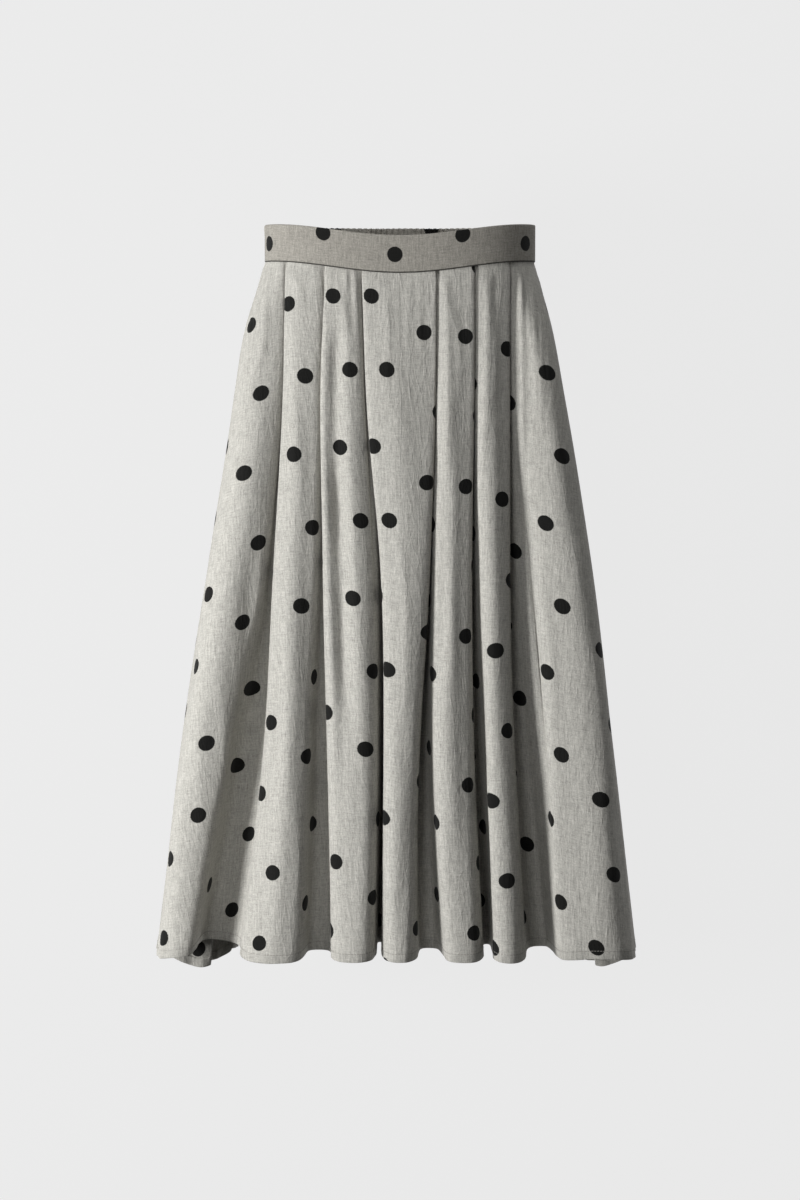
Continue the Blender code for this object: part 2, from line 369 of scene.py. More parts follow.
def section_size(below: float, name: str) -> float:
    """One column of the section table at a height below the waist seam."""
    stations = [row.below for row in SECTIONS]
    return float(smooth_table(np.array([below]), stations, [getattr(s, name) for s in SECTIONS])[0])


class HalfSection:
    """Half of the plain skirt's horizontal section, from the left side seam to the right.

    Formula: a superellipse, x = half width * sin^k(angle), y = half depth * cos^k(angle), k = 2 /
    roundness, walked by its length.
    """

    def __init__(self, below: float, half: Half) -> None:
        """Work out the section.

        Args:
            below: height below the waist seam.
            half: which half it is. The front grows squarer towards the hem, and its outward
                direction turns from the curve's own to straight ahead.
        """
        left = section_size(below, "left")
        right = section_size(below, "right")
        depth = section_size(below, half.name.lower())
        angle = np.linspace(-np.pi / 2, np.pi / 2, DENSE)
        squarer = (HEM_ROUNDNESS - ROUNDNESS) * below / SIDE_LENGTH if half is Half.FRONT else 0.0
        power = 2.0 / (ROUNDNESS + squarer)
        self.x = (np.where(angle < 0, left, right) * np.sign(angle)
                  * np.abs(np.sin(angle)) ** power)
        self.y = half.value * depth * np.abs(np.cos(angle)) ** power
        self.run = walked(np.hypot(np.diff(self.x), np.diff(self.y)))
        tangent = np.stack([np.gradient(self.x, self.run), np.gradient(self.y, self.run)])
        tangent /= np.linalg.norm(tangent, axis=0)
        straight = ((max(below, SEAM_ALLOWANCE) - SEAM_ALLOWANCE) / (SIDE_LENGTH - SEAM_ALLOWANCE)
                    if half is Half.FRONT else 0.0)
        out = half.value * np.stack([-tangent[1] * (1 - straight),
                                     tangent[0] * (1 - straight) + straight])
        self.out_x, self.out_y = out / np.linalg.norm(out, axis=0)
        self.length = self.run[-1]

    def run_at_x(self, x: float) -> float:
        """Distance along the section from the left seam to the point that shows at x."""
        return float(np.interp(x, self.x, self.run))

    def outward(self, run: Array) -> Array:
        """Outward directions at distances along the section."""
        return np.stack([np.interp(run, self.run, self.out_x),
                         np.interp(run, self.run, self.out_y)], axis=-1)

    def points(self, run: Array, inward: Array) -> Array:
        """Points at distances along the section and depths inside it."""
        place = np.stack([np.interp(run, self.run, self.x), np.interp(run, self.run, self.y)])
        return place.T - inward[:, None] * self.outward(run)


def spline(controls: Array) -> Array:
    """A uniform cubic B-spline through a row of points, from the first to the last.

    Formula: each span blends four points with the weights (1-s)^3, 3s^3-6s^2+4, -3s^3+3s^2+3s+1 and
    s^3, all over 6.

    Args:
        controls: the points, one to a row.

    Returns:
        The curve's points, SPAN_SAMPLES to a span.
    """
    before = 2 * controls[:1] - controls[1:2]
    after = 2 * controls[-1:] - controls[-2:-1]
    p = np.concatenate([before, controls, after])[:, None, :]
    s = (np.arange(SPAN_SAMPLES) / SPAN_SAMPLES)[None, :, None]
    curve = ((1 - s) ** 3 * p[:-3] + (3 * s ** 3 - 6 * s * s + 4) * p[1:-2]
             + (-3 * s ** 3 + 3 * s * s + 3 * s + 1) * p[2:-1] + s ** 3 * p[3:]) / 6
    return np.concatenate([curve.reshape(-1, controls.shape[1]), controls[-1:]])


def band_top(x: Array) -> Array:
    """Height of the front waistband's top edge: it sags by a squared cosine."""
    half = section_size(0, "left")
    return BAND_TOP - FRONT_DIP * np.cos(np.pi / 2 * np.clip(x / half, -1, 1)) ** 2


def hem_height(x: Array, inward: Array, half: Half) -> Array:
    """Height of the hem: level at the sides, shorter in front, drawn up in the valleys.

    Formula: the front rises by a cosine and by a Gaussian near each side, where the back droops by
    a Gaussian. Both rise with the depth inside the plain section.

    Args:
        x: places across.
        inward: depths inside the plain section.
        half: the front or the back.

    Returns:
        The height at each place.
    """
    side = section_size(SIDE_LENGTH, "left")
    bias = np.exp(-((np.abs(x) - BIAS_PLACE) / BIAS_REACH) ** 2)
    rise = -BIAS_DROOP * bias
    if half is Half.FRONT:
        rise = (HEM_RISE_FRONT * np.cos(np.pi / 2 * np.clip(x / side, -1, 1))
                + HEM_RISE_SIDE * bias)
    return BAND_TOP - BAND_HEIGHT - SIDE_LENGTH + rise + HEM_LIFT * inward / PLEATS[2].depth


# ---- mesh helpers
def placed(name: str, data: bpy.types.ID) -> Object:
    """Put a mesh, a lamp or a camera into the scene.

    Args:
        name: the object's name.
        data: what it holds.

    Returns:
        The new object, at the origin.
    """
    obj = bpy.data.objects.new(name, data)
    bpy.context.scene.collection.objects.link(obj)
    return obj


def grid_mesh(name: str, points: Array, cut: Array, finish: Material,
              closing: tuple[Array, ...] = ()) -> Object:
    """Make an object from a grid of points, with the cloth's cut as its UV map.

    Args:
        name: the piece's name.
        points: rows of columns of places, in millimetres.
        cut: the same grid's places on the cut cloth, in millimetres.
        finish: the material.
        closing: further faces, as arrays of points' numbers with a face to a row.

    Returns:
        The new object.
    """
    index = np.arange(points[..., 0].size).reshape(points.shape[:2])
    quads = np.stack([index[:-1, :-1], index[1:, :-1], index[1:, 1:], index[:-1, 1:]], axis=-1)
    groups = (quads.reshape(-1, 4), *closing)
    mesh = bpy.data.meshes.new(name)
    mesh.from_pydata((points.reshape(-1, 3) * MM).tolist(), [],
                     [face for group in groups for face in group.tolist()])
    corners = np.concatenate([group.ravel() for group in groups])
    flat = (cut.reshape(-1, 2) * MM)[corners].astype(np.float32)
    mesh.uv_layers.new(name="cut").data.foreach_set("uv", flat.ravel())
    mesh.shade_smooth()
    mesh.materials.append(finish)
    return placed(name, mesh)


def stand(obj: Object, place: Vector, ahead: Vector) -> None:
    """Stand a lamp or a camera somewhere, looking ahead.

    Args:
        obj: the lamp or the camera.
        place: where it stands, in metres.
        ahead: where it looks, as a direction.
    """
    obj.location = place
    obj.rotation_mode = "QUATERNION"
    obj.rotation_quaternion = ahead.to_track_quat("-Z", "Y")


def thicken(obj: Object, wall: float) -> None:
    """Give an open sheet its wall, half to each side.

    Args:
        obj: the sheet.
        wall: the wall, in millimetres.
    """
    solidify = obj.modifiers.new("wall", "SOLIDIFY")
    solidify.thickness = wall * MM
    solidify.offset = 0.0


def grid_normals(points: Array) -> Array:
    """Unit normals of a grid of points, turned away from the skirt's axis.

    Formula: the cross product of the grid's two directions, over its length.

    Args:
        points: the grid.

    Returns:
        One normal for each point.
    """
    across = np.gradient(points, axis=1)
    down = np.gradient(points, axis=0)
    normal = np.cross(down, across)
    normal /= np.linalg.norm(normal, axis=-1, keepdims=True) + 1e-9
    outward = points * np.array([1.0, 1.0, 0.0])
    return normal * np.sign(np.sum(normal * outward, axis=-1).mean())


# ---- materials
SMOOTH = "SMOOTHSTEP"


class Tree:
    """A new material and a small hand for joining its nodes."""

    def __init__(self, name: str) -> None:
        """Start a material.

        Args:
            name: its name.
        """
        self.material = bpy.data.materials.new(name)
        self.material.use_nodes = True
        self.nodes = self.material.node_tree.nodes
        self.shader = self.nodes["Principled BSDF"]

    def fill(self, node: bpy.types.Node, inputs: Inputs) -> None:
        """Link or set a node's inputs.

        Args:
            node: the node.
            inputs: a socket or a value for each input's name or number.
        """
        for key, value in inputs.items():
            if isinstance(value, Socket):
                self.material.node_tree.links.new(value, node.inputs[key])
            else:
                node.inputs[key].default_value = value

    def add(self, kind: str, output: str | int, inputs: Inputs, **settings: object) -> Socket:
        """Add a node.

        Args:
            kind: its type, without its first word.
            output: the name or number of the output that is wanted.
            inputs: a socket or a value for each input's name or number.
            settings: its own choices.

        Returns:
            The output.
        """
        node = self.nodes.new(f"ShaderNode{kind}")
        for key, value in settings.items():
            setattr(node, key, value)
        self.fill(node, inputs)
        return node.outputs[output]

    def noise(self, place: Socket, scale: Pair, detail: float = 3.0, rough: float = 0.6) -> Socket:
        """Noise stretched along the cloth's threads.

        Args:
            place: the place on the cut.
            scale: how finely it runs across and down the cut.
            detail: its finer layers.
            rough: how much they count.

        Returns:
            A value from 0 to 1.
        """
        stretched = self.add("Mapping", "Vector", {"Vector": place, "Scale": (*scale, 1.0)})
        return self.add("TexNoise", "Fac", {"Vector": stretched, "Scale": 1.0, "Detail": detail,
                                            "Roughness": rough}, noise_dimensions="2D")

    def ridges(self, place: Socket, wrinkle: Wrinkle) -> Socket:
        """Thin wandering creases: 1 where a leaning noise crosses its middle, 0 away from it.

        Args:
            place: the place on the cut.
            wrinkle: their sizes.

        Returns:
            A value from 0 to 1.
        """
        lean = self.add("VectorRotate", "Vector", {"Vector": place, "Angle": wrinkle.lean},
                        rotation_type="Z_AXIS")
        wave = self.noise(lean, wrinkle.scale, 1.0, 0.5)
        away = self.math("ABSOLUTE", self.math("SUBTRACT", wave, 0.5))
        return self.ramp(away, 0.0, wrinkle.width, 1.0, 0.0)

    def math(self, operation: str, *values: object) -> Socket:
        """A maths node on sockets or numbers."""
        return self.add("Math", 0, dict(enumerate(values)), operation=operation)

    def vector(self, operation: str, output: str, *values: object) -> Socket:
        """A vector maths node on sockets or vectors."""
        return self.add("VectorMath", output, dict(enumerate(values)), operation=operation)

    def total(self, parts: list[tuple[Socket, float]], start: float) -> Socket:
        """A weighted sum of sockets.

        Args:
            parts: each socket and its weight.
            start: what is added to the sum.

        Returns:
            The sum.
        """
        result: object = start
        for socket, weight in parts:
            result = self.math("MULTIPLY_ADD", socket, weight, result)
        return result

    def ramp(self, value: Socket, low: float, high: float, out_low: float,
             out_high: float) -> Socket:
        """A smooth step of a value, from out_low at low to out_high at high."""
        ends = {"From Min": low, "From Max": high, "To Min": out_low, "To Max": out_high}
        return self.add("MapRange", "Result", {"Value": value, **ends}, interpolation_type=SMOOTH)

    def scaled_colour(self, colour: Triple | Socket, factor: Socket) -> Socket:
        """A colour made lighter or darker by a factor."""
        return self.add("VectorMath", "Vector", {0: colour, "Scale": factor}, operation="SCALE")

    def wrapped_distance(self, place: Socket, centre: Pair, half: Vector, turned: bool,
                         stretch: float) -> Socket:
        """Distance from a place to the nearest copy of a repeated centre.

        Formula: the difference of the two, wrapped to half a repeat either way, and its length. On
        cloth that is turned a quarter, the repeat's two sides change places.

        Args:
            place: the place on the cut, in metres.
            centre: one copy's centre, in millimetres.
            half: half the repeat's sides, in metres.
            turned: whether the cloth is turned a quarter.
            stretch: how far apart the copies stand along the piece, 1 as woven.

        Returns:
            The distance, in metres.
        """
        sides = Vector((half.y * stretch, half.x, 1.0)) if turned else half
        offset = (centre[1] * stretch, -centre[0]) if turned else centre
        move = self.vector("SUBTRACT", "Vector", place, (offset[0] * MM, offset[1] * MM, 0.0))
        wrap = self.vector("WRAP", "Vector", move, sides, -sides)
        return self.vector("LENGTH", "Value", wrap)


@dataclass(frozen=True)
class DotRepeat:
    """The round dots: two uneven columns of two dots each make one repeat. Millimetres."""

    pitch: float = 112.9
    drop: float = 162.0
    radius: float = 8.4
    places: tuple[Pair, ...] = ((0.0, 0.0), (15.8, 78.5), (56.5, 37.5), (72.8, 123.6))
    ragged: float = 0.7         # how far the edge wanders, by a noise of this scale
    ragged_scale: Pair = (900.0, 900.0)
    soft: float = 0.3           # half the edge's blur

    def mask(self, tree: Tree, place: Socket, linen: DottedLinen) -> Socket:
        """Mask of the dots: the distance to the nearest place of the repeat, softly cut.

        Args:
            tree: the material's nodes.
            place: the place on the cut.
            linen: the cloth, with the repeat's origin, turn and stretch.

        Returns:
            1 inside a dot and 0 outside.
        """
        wobble = tree.noise(place, self.ragged_scale, 2.0, 0.5)
        half = Vector((self.pitch / 2 * MM, self.drop / 2 * MM, 1.0))
        nearest = None
        for across, down in self.places:
            centre = (linen.origin[0] + across, linen.origin[1] + down)
            distance = tree.wrapped_distance(place, centre, half, linen.turned, linen.stretch)
            nearest = distance if nearest is None else tree.math("MINIMUM", nearest, distance)
        edge = tree.math("MULTIPLY_ADD", wobble, self.ragged * MM, nearest)
        radius = (self.radius + self.ragged / 2) * MM
        return tree.ramp(edge, radius - self.soft * MM, radius + self.soft * MM, 1.0, 0.0)


@dataclass(frozen=True)
class DottedLinen:
    """Slubby, matt linen with near-black dots, patterned by the piece's own cut.

    A ramp says from where to where the weave's tone runs, and by what the colour is scaled there.
    """

    name: str
    cloth: Triple = (0.405, 0.395, 0.363)
    dot: Triple = (0.0055, 0.0055, 0.005)
    origin: Pair = (0.0, 0.0)
    repeat: DotRepeat = DotRepeat()
    turned: bool = False
    stretch: float = 1.0
    crumple: float = 1.0        # share of the fine wrinkles
    painted_seam_shade: float = 1.0          # painted shade: brightness of the lowest edge, where a band meets its panel, darkened to stand in for the seam's shadow
    # where the painted seam shade fades in, as distances round the profile from the band's lowest
    # edge
    painted_seam_shade_edge: Pair = (2.2, 1.9)
    mean_tone: float = 0.72
    cloth_ramp: tuple[float, ...] = (-0.34, 0.34, 0.55, 1.42)
    dot_ramp: tuple[float, ...] = (-0.4, 0.4, 0.6, 1.6)
    crumple_scale: Pair = (85.0, 16.0)
    wrinkle_share: float = 0.12
    relief_depth: float = 1.0
    relief_strength: float = 0.8
    roughness: float = 0.88
    specular: float = 0.15
    sheen: Pair = (0.05, 0.55)  # its weight and its roughness

    def material(self) -> Material:
        """Build the material.

        Formula: the tone is a weighted sum of stretched noises for the threads and slubs. It scales
        both colours, and with the wrinkles it makes the relief. Where the seam shade is below 1,
        painted shade darkens the colour along the lowest edge, for the waist seam's shadow.

        Returns:
            A node material that reads the UV map of the cut.
        """
        tree = Tree(self.name)
        place = tree.add("UVMap", "UV", {}, uv_map="cut")
        threads = [(yarn, tree.noise(place, yarn.scale, yarn.detail)) for yarn in WEAVE]
        tone = tree.total([(noise, yarn.tone) for yarn, noise in threads], -self.mean_tone)
        colour = tree.add("Mix", "Result", {
            "Factor": self.repeat.mask(tree, place, self),
            "A": tree.scaled_colour(self.cloth, tree.ramp(tone, *self.cloth_ramp)),
            "B": tree.scaled_colour(self.dot, tree.ramp(tone, *self.dot_ramp))}, data_type="RGBA")
        # Painted shade: the colour is darkened near the band's lowest edge, in place of the shadow
        # in the waist seam.
        if self.painted_seam_shade < 1.0:
            low, high = ((BAND_HEIGHT - edge) * MM for edge in self.painted_seam_shade_edge)
            down = tree.add("SeparateXYZ", "Y", {"Vector": place})
            colour = tree.scaled_colour(colour, tree.ramp(down, low, high, 1.0, self.painted_seam_shade))
        crumple = tree.noise(place, self.crumple_scale)
        wrinkles = [(tree.ridges(place, wrinkle), self.wrinkle_share * self.crumple)
                    for wrinkle in WRINKLES]
        relief = tree.total([*((noise, yarn.relief) for yarn, noise in threads),
                             (crumple, self.crumple), *wrinkles], 0.0)
        bump = tree.add("Bump", "Normal", {"Height": relief, "Distance": self.relief_depth * MM,
                                           "Strength": self.relief_strength})
        tree.fill(tree.shader, {
            "Base Color": colour, "Normal": bump, "Roughness": self.roughness,
            "Specular IOR Level": self.specular, "Sheen Weight": self.sheen[0],
            "Sheen Roughness": self.sheen[1]})
        return tree.material


@dataclass(frozen=True)
class Thread:
    """Matt sewing thread."""

    name: str = "thread"
    colour: Triple = (0.25, 0.24, 0.22)
    roughness: float = 0.8
    specular: float = 0.2

    def material(self) -> Material:
        """Build the material.

        Returns:
            A plain node material.
        """
        tree = Tree(self.name)
        tree.fill(tree.shader, {"Base Color": (*self.colour, 1.0), "Roughness": self.roughness,
                                "Specular IOR Level": self.specular})
        return tree.material


# ---- panels
def front_controls(below: float) -> tuple[HalfSection, Array]:
    """The front section's guiding points.

    Formula: each fold is a blend of its pressed form at the waist and its open form at the hem, by
    powers of the share of the way down. The plain sides bulge forward by a half sine that grows
    below the waist seam.

    Args:
        below: height below the waist seam.

    Returns:
        The plain section, and each point's distance along it, depth inside it and bulge.
    """
    fall = max(below, SEAM_ALLOWANCE)
    half = HalfSection(fall, Half.FRONT)
    down = (fall - SEAM_ALLOWANCE) / (SIDE_LENGTH - SEAM_ALLOWANCE)
    opened = down ** OPENING_POWER
    sunk = down ** SINKING_POWER
    tuck, shift, layer, across, outset, depth = np.array(FOLD).T
    folds = []
    for pleat in PLEATS:
        at = np.array([fall])
        edge_x = float(smooth_table(at, PLEAT_STATIONS, pleat.edge)[0])
        under_x = float(smooth_table(at, PLEAT_STATIONS, pleat.under)[0])
        edge = half.run_at_x(edge_x)
        under = half.run_at_x(under_x)
        way = 1.0 if edge_x < 0 else -1.0
        folded = edge + way * (tuck * PLEAT_TUCK + shift)
        full = np.where(outset < 0, outset * pleat.shoulder_under, outset * pleat.shoulder)
        opened_run = under + across * (edge - under) + way * full
        run = folded + (opened_run - folded) * opened
        inward = layer * LAYER_PITCH * (1 - opened) + depth * pleat.depth * sunk
        fold = np.stack([run, inward], axis=-1)
        folds.append(fold if way > 0 else fold[::-1])
    left = np.linspace(0.0, folds[0][0, 0], SIDE_POINTS + 1)[:-1]
    right = np.linspace(folds[-1][-1, 0], half.length, SIDE_POINTS + 1)[1:]
    centre = 0.5 * (folds[HALF_PLEATS - 1][-1:] + folds[HALF_PLEATS][:1])
    shares = (left / folds[0][0, 0], (half.length - right) / (half.length - folds[-1][-1, 0]))
    grown = OUTER_FULLNESS * (1 - np.exp(-(fall - SEAM_ALLOWANCE) / FULLNESS_START))
    plain = [np.stack([run, 0 * run, grown * np.sin(np.pi * share ** FULLNESS_CREST)], axis=-1)
             for run, share in zip((left, right), shares)]
    pleated = np.concatenate([*folds[:HALF_PLEATS], centre, *folds[HALF_PLEATS:]])
    pleated = np.concatenate([pleated, np.zeros((len(pleated), 1))], axis=1)
    return half, np.concatenate([plain[0], pleated, plain[1]])


def even_columns(controls: tuple[Array, ...]) -> tuple[Array, Array]:
    """Choose which samples of a spline become columns, the same on every row.

    Formula: each span gets its greatest length over COLUMN_STEP, and at least FEWEST_COLUMNS.

    Args:
        controls: the guiding points of each row.

    Returns:
        The chosen samples' numbers, and the column where each span starts.
    """
    spans = len(controls[0]) - 1
    longest = np.zeros(spans)
    for row in controls:
        steps = np.linalg.norm(np.diff(spline(row), axis=0), axis=1)
        longest = np.maximum(longest, steps.reshape(spans, SPAN_SAMPLES).sum(axis=1))
    counts = np.clip(np.ceil(longest / COLUMN_STEP), FEWEST_COLUMNS, SPAN_SAMPLES).astype(int)
    chosen = [span * SPAN_SAMPLES + np.round(np.arange(count) * SPAN_SAMPLES / count).astype(int)
              for span, count in enumerate(counts)]
    return np.concatenate([*chosen, [spans * SPAN_SAMPLES]]), walked(counts).astype(int)


@dataclass
class Stitches:
    """A row of small stitches along the turned-up hem. Millimetres."""

    thread: Material
    pitch: float = 3.4
    length: float = 2.5
    width: float = 0.5
    rise: float = 0.2
    sunk: float = 0.5           # share of the rise that lies in the cloth
    reach: float = 0.6          # the line's direction is read this far to each side

    def build(self, name: str, points: Array) -> Object:
        """Sew along a panel's hem.

        Formula: the line runs STITCH_LINE above the hem's edge along each column, and a small box
        with its own tangent and normal stands at every pitch along the line.

        Args:
            name: the piece's name.
            points: the panel's grid, without its turned edges.

        Returns:
            The new object.
        """
        rise = points[-2] - points[-1]
        line = points[-1] + rise * (STITCH_LINE / np.linalg.norm(rise, axis=-1, keepdims=True))
        run = walked(np.linalg.norm(np.diff(line, axis=0), axis=-1))
        at = np.arange(self.pitch, run[-1] - self.pitch, self.pitch)
        centre, out, after, before = (
            np.stack([np.interp(where, run, column) for column in values.T], axis=-1)
            for values, where in ((line, at), (grid_normals(points)[-1], at),
                                  (line, at + self.reach), (line, at - self.reach)))
        along = after - before
        along /= np.linalg.norm(along, axis=-1, keepdims=True)
        aside = np.cross(out, along)
        ends = (-1.0, 1.0)
        corners = np.array([(a, b, c) for c in (-self.sunk, 1.0) for b in ends for a in ends])
        places = (centre[:, None] + out[:, None] * (CLOTH / 2 + corners[None, :, 2:] * self.rise)
                  + along[:, None] * corners[None, :, :1] * self.length / 2
                  + aside[:, None] * corners[None, :, 1:2] * self.width / 2)
        sides = np.array([(0, 2, 3, 1), (4, 5, 7, 6), (0, 1, 5, 4), (2, 6, 7, 3), (0, 4, 6, 2),
                          (1, 3, 7, 5)])
        faces = sides[None] + len(corners) * np.arange(len(at))[:, None, None]
        mesh = bpy.data.meshes.new(name)
        mesh.from_pydata((places.reshape(-1, 3) * MM).tolist(), [], faces.reshape(-1, 4).tolist())
        mesh.materials.append(self.thread)
        obj = placed(name, mesh)
        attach(obj, "root")
        return obj


@dataclass(frozen=True)
class Unevenness:
    """The small waves that no crease states. Each draws its sizes from the ranges, in pairs."""

    puckers: int = 5
    pucker_start: float = 6.0
    pucker_pitch: Pair = (7.0, 16.0)
    pucker_reach: Pair = (25.0, 70.0)
    pucker_lean: Pair = (-0.05, 0.05)
    pucker_patch: Pair = (19.0, 31.0)
    pucker_rise: float = 0.55
    sways: int = 9
    sway_start: float = 20.0
    sway_full: float = 160.0
    sway_pitch: Pair = (45.0, 120.0)
    sway_height: Pair = (160.0, 420.0)
    sway_rise: float = 0.45
    sway_turn: float = 2.2
    ripples: int = 4
    ripple_pitch: Pair = (16.0, 34.0)
    ripple_rise: float = 0.26
    ripple_reach: float = 22.0

    def add_to(self, rise: Array, cut: tuple[Array, Array], pucker: float, seed: int) -> None:
        """Add puckers at the waist seam, long sways and ripples at the hem.

        Formula: puckers are sines across the cloth times a patchy squared sine, dying away
        downwards. Sways are sines whose phase wanders down the cloth. Ripples are sines that die
        away upwards from the hem.

        Args:
            rise: the lift at each place, which is changed.
            cut: the places across and below.
            pucker: strength of the puckers.
            seed: start of the random draws.
        """
        across, below = cut
        whole = 2 * np.pi
        draw = np.random.default_rng(seed)
        for _ in range(self.puckers):
            pitch = draw.uniform(*self.pucker_pitch)
            reach = draw.uniform(*self.pucker_reach)
            phase = draw.uniform(0, whole)
            lean = draw.uniform(*self.pucker_lean)
            wave = np.sin(whole * (across + lean * below) / pitch + phase)
            patch = np.sin(across / draw.uniform(*self.pucker_patch) + phase) ** 2
            rise += (pucker * self.pucker_rise * wave * patch * ease(below, 0, self.pucker_start)
                     * np.exp(-below / reach))
        for _ in range(self.sways):
            pitch = draw.uniform(*self.sway_pitch)
            tall = draw.uniform(*self.sway_height)
            phase = draw.uniform(0, whole, 2)
            wave = np.sin(whole * across / pitch + phase[0] + np.sin(below / tall + phase[1]))
            rise += (self.sway_rise * wave * np.sin(below / tall * self.sway_turn + phase[1])
                     * ease(below, self.sway_start, self.sway_full))
        for _ in range(self.ripples):
            pitch = draw.uniform(*self.ripple_pitch)
            phase = draw.uniform(0, whole)
            wave = np.sin(whole * across / pitch + phase)
            rise += self.ripple_rise * wave * np.exp(-(SIDE_LENGTH - below) / self.ripple_reach)


@dataclass
class Panel:
    """One of the two big panels: its form, its cut, its creases and its turned-in edges."""

    name: str
    node: str
    half: Half
    finish: Material
    thread: Material
    creases: tuple[Crease, ...]
    rows: int = 98
    spacing: Pair = (0.42, 0.58)        # shares of even and of squared spacing
    roll_rows: tuple[float, ...] = (0.0, 0.8, 1.7)
    first_rows: Pair = (0.85, 1.4)      # the next rows, as shares of the first spacing
    back_columns: int = 361
    side_fade: Pair = (1.2, 12.0)       # the back's flutes grow over this, in from the sides
    pucker: float = 1.0
    seed: int = 3
    widths: list[float] = field(default_factory=list)

    def heights(self) -> Array:
        """Heights of the rows below the seam, closest together at the waist.

        Formula: a blend of even and squared spacing, with further rows in the seam's roll.

        Returns:
            The heights.
        """
        s = np.linspace(0, 1, self.rows - len(self.roll_rows))
        even, squared = self.spacing
        spread = SIDE_LENGTH * (even * s + squared * s * s)
        return np.concatenate([self.roll_rows, spread[1] * np.array(self.first_rows), spread[2:]])

    @staticmethod
    def seam_roll(below: float) -> float:
        """How far the cloth rolls in at the waist seam: a step that fades out below it."""
        return SEAM_DIP * (1 - ease(below, 0, SEAM_ROLL))

    def front_rings(self, heights: Array) -> tuple[Array, Array]:
        """Rings of the pleated front: splines through each height's guiding points.

        Args:
            heights: heights below the seam.

        Returns:
            x, y and the depth inside the plain section for each row and column, and the column
            where each span starts.
        """
        sections, controls = zip(*[front_controls(below) for below in heights])
        columns, starts = even_columns(controls)
        rings = []
        for below, section, guide in zip(heights, sections, controls):
            run, inward, forward = spline(guide)[columns].T
            inward = inward + self.seam_roll(below)
            place = section.points(run, inward)
            place[:, 1] -= forward
            rings.append(np.concatenate([place, inward[:, None]], axis=1))
        return np.array(rings), starts

    def back_rings(self, heights: Array) -> Array:
        """Rings of the gathered back.

        Formula: the plain section, sunk by half a cosine for each flute, deeper towards the hem,
        and by a finer cosine for each gather, which dies away below the band.

        Args:
            heights: heights below the seam.

        Returns:
            x, y and the depth inside the plain section for each row and column.
        """
        rings = []
        for below in heights:
            fall = max(below, SEAM_ALLOWANCE)
            section = HalfSection(fall, self.half)
            run = np.linspace(0, section.length, self.back_columns)
            u = run / section.length
            wander = UNEVEN_PITCH * np.sin(4 * np.pi * u + PITCH_START)
            phase = 2 * np.pi * BACK_FLUTES * u + wander
            depth = (FLUTE_DEPTH * (fall / SIDE_LENGTH) ** 0.5
                     * (1 + UNEVEN_DEPTH * np.sin(DEPTH_TURN * u + DEPTH_START)))
            gather = 2 * np.pi * BACK_FLUTES * GATHERS_PER_FLUTE * u
            inward = (depth * 0.5 * (1 - np.cos(phase))
                      + 0.5 * GATHER_DEPTH * (1 - np.cos(gather)) * np.exp(-fall / GATHER_REACH))
            inward = inward * ease(np.minimum(run, section.length - run), *self.side_fade)
            inward = inward * ease(below, -CREASE_START / 8, CREASE_START)
            inward = inward + self.seam_roll(below)
            rings.append(np.concatenate([section.points(run, inward), inward[:, None]], axis=1))
        return np.array(rings)

    def pleated_across(self, length: Array, starts: Array, share: Array) -> Array:
        """Place of each column across the front's cut, from the centre front.

        Formula: along a panel that shows, the cloth's own length from the panel's anchor; inside
        a pleat, evenly from one panel's end to the next one's start.

        Args:
            length: cloth length from the left seam, for rows and columns.
            starts: the column of each guiding point.
            share: share of the way from the waist to the hem for each row.

        Returns:
            The place across, for rows and columns.
        """
        stretches = [self.stretch(mark) for mark in ANCHORS]
        middle = self.pleat_start(HALF_PLEATS - 1) + len(FOLD)
        stretches.append((middle - CENTRE_REACH, middle + CENTRE_REACH, middle, CENTRE_PLACES))
        across = np.empty_like(length)
        for row, part in enumerate(share):
            at, places = [], []
            for first, last, mark, table in sorted(stretches):
                ends = length[row, starts[[first, last]]]
                anchor = smooth_table(np.array([part]), (0.0, 0.5, 1.0), table)
                at.extend(ends)
                places.extend(anchor + ends - length[row, starts[mark]])
            across[row] = np.interp(length[row], at, places)
        return across

    @staticmethod
    def pleat_start(pleat: int) -> int:
        """The guiding point where a pleat's fold starts: the centre front has one of its own."""
        return SIDE_POINTS + pleat * len(FOLD) + (pleat >= HALF_PLEATS)

    def stretch(self, mark: Anchor) -> tuple[int, int, int, tuple[float, ...]]:
        """Where an anchored stretch lies among the guiding points.

        Formula: a fold lists its points from the covered panel to the one on top on the left of
        the centre front, and the other way round on the right. A panel runs to the next pleat.

        Args:
            mark: the anchor.

        Returns:
            The points where it starts, ends and is anchored, and the anchor's places.
        """
        left = mark.pleat < HALF_PLEATS
        own = mark.part.value if left else len(FOLD) - 1 - mark.part.value
        at = self.pleat_start(mark.pleat) + own
        if mark.part is Part.FLOOR:
            first, last = at - 1, at + 1
        elif (mark.part is Part.FOLD) == left:
            at_side = mark.pleat == len(PLEATS) - 1
            first, last = at, self.pleat_start(mark.pleat + 1) + (
                SIDE_POINTS - 1 if at_side else Part.COVERED.value)
        else:
            first = 0 if mark.pleat == 0 else self.pleat_start(mark.pleat - 1) + Part.FOLD.value
            last = at
        return first, last, at, mark[2:]

